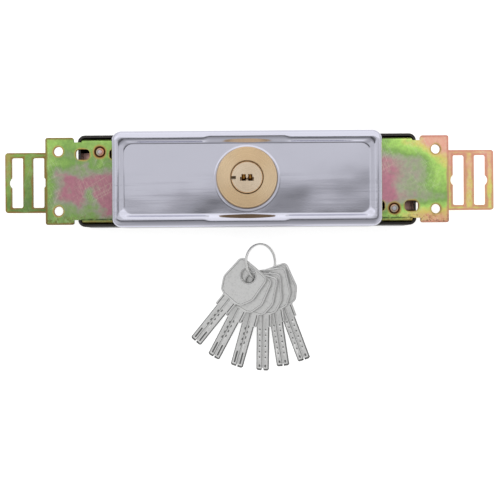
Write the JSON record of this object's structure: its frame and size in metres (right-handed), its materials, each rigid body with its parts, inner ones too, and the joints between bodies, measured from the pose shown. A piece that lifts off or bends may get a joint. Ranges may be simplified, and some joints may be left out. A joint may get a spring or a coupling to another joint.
{
  "type": "garage door lock",
  "caption": "Flat surface lock for a garage door: a key cylinder turns a pinion that draws a slotted tongue in at each end, with its keys on a ring.",
  "frame": {"origin": "centre of the tray's flat back, on the axis of the key cylinder", "axes": "+X along the tongues to the right, +Y across the lock, +Z out of the face with the keyway"},
  "size_m": [0.309, 0.1502, 0.0431],
  "materials": {
    "black_paint": "semi-gloss black stove enamel",
    "yellow_zinc": "iridescent yellow zinc passivation",
    "zinc_tongue": "iridescent yellow zinc passivation, orange at the edges",
    "polished_chrome": "polished chrome plate",
    "satin_brass": "satin champagne brass",
    "turned_brass": "turned brass",
    "pin_brass": "turned brass",
    "spring_steel": "bright spring steel",
    "plain_zinc": "bright zinc plate",
    "nickel_key": "satin nickel plate",
    "nickel_wire": "bright nickel plate"
  },
  "bodies": {
    "case": {"tray": "black_paint", "front_plate": "yellow_zinc", "cover": "polished_chrome", "cylinder_body": "satin_brass", "driver_pins": "pin_brass", "pin_springs": "spring_steel", "chamber_plugs": "pin_brass", "cylinder_nut": "plain_zinc", "lock_washer": "plain_zinc", "pinion_bridge": "yellow_zinc", "bridge_rivets": "plain_zinc", "left_bolt_spring": "spring_steel", "right_bolt_spring": "spring_steel", "spring_rivets": "plain_zinc", "spacer_posts": "plain_zinc"},
    "plug": {"plug": "turned_brass", "key_pins": "pin_brass", "plug_circlip": "spring_steel", "drive_pinion": "plain_zinc"},
    "left_bolt": {"left_bolt": "zinc_tongue"},
    "right_bolt": {"right_bolt": "zinc_tongue"},
    "key_ring": {"key_ring": "nickel_wire"},
    "key_1": {"key_1": "nickel_key"},
    "key_2": {"key_2": "nickel_key"},
    "key_3": {"key_3": "nickel_key"},
    "key_4": {"key_4": "nickel_key"},
    "key_5": {"key_5": "nickel_key"},
    "key_6": {"key_6": "nickel_key"}
  },
  "joints": [
    {"name": "plug_turn", "type": "hinge", "parent": "case", "child": "plug", "pos_m": [0, 0, 0.03], "axis": [0, 0, 1], "range_deg": [0, 180]},
    {"name": "left_bolt_slide", "type": "slide", "parent": "case", "child": "left_bolt", "axis": [1, 0, 0], "range_m": [0, 0.01885]},
    {"name": "right_bolt_slide", "type": "slide", "parent": "case", "child": "right_bolt", "axis": [-1, 0, 0], "range_m": [0, 0.0189]},
    {"name": "key_ring_lift", "type": "slide", "parent": "case", "child": "key_ring", "axis": [0, 0, 1], "range_m": [0, 0.03]},
    {"name": "key_1_swing", "type": "hinge", "parent": "key_ring", "child": "key_1", "pos_m": [0.0004, -0.0597, 0.01291], "axis": [-0.2584, -0.0456, 0.965], "range_deg": [-5, 5]},
    {"name": "key_2_swing", "type": "hinge", "parent": "key_ring", "child": "key_2", "pos_m": [0.0033, -0.0636, 0.01117], "axis": [-0.2584, -0.0456, 0.965], "range_deg": [-5, 5]},
    {"name": "key_3_swing", "type": "hinge", "parent": "key_ring", "child": "key_3", "pos_m": [0.00735, -0.0649, 0.00986], "axis": [-0.2584, -0.0456, 0.965], "range_deg": [-5, 5]},
    {"name": "key_4_swing", "type": "hinge", "parent": "key_ring", "child": "key_4", "pos_m": [0.0101, -0.06495, 0.00827], "axis": [-0.2584, -0.0456, 0.965], "range_deg": [-5, 5]},
    {"name": "key_5_swing", "type": "hinge", "parent": "key_ring", "child": "key_5", "pos_m": [0.0143, -0.0625, 0.00717], "axis": [-0.2584, -0.0456, 0.965], "range_deg": [-5, 5]},
    {"name": "key_6_swing", "type": "hinge", "parent": "key_ring", "child": "key_6", "pos_m": [0.0167, -0.0614, 0.00554], "axis": [-0.2584, -0.0456, 0.965], "range_deg": [-5, 5]}
  ],
  "couplings": [
    {"joint": "plug_turn", "follows": "left_bolt_slide", "rad_per_m": 166.67},
    {"joint": "right_bolt_slide", "follows": "left_bolt_slide", "ratio": 1}
  ]
}
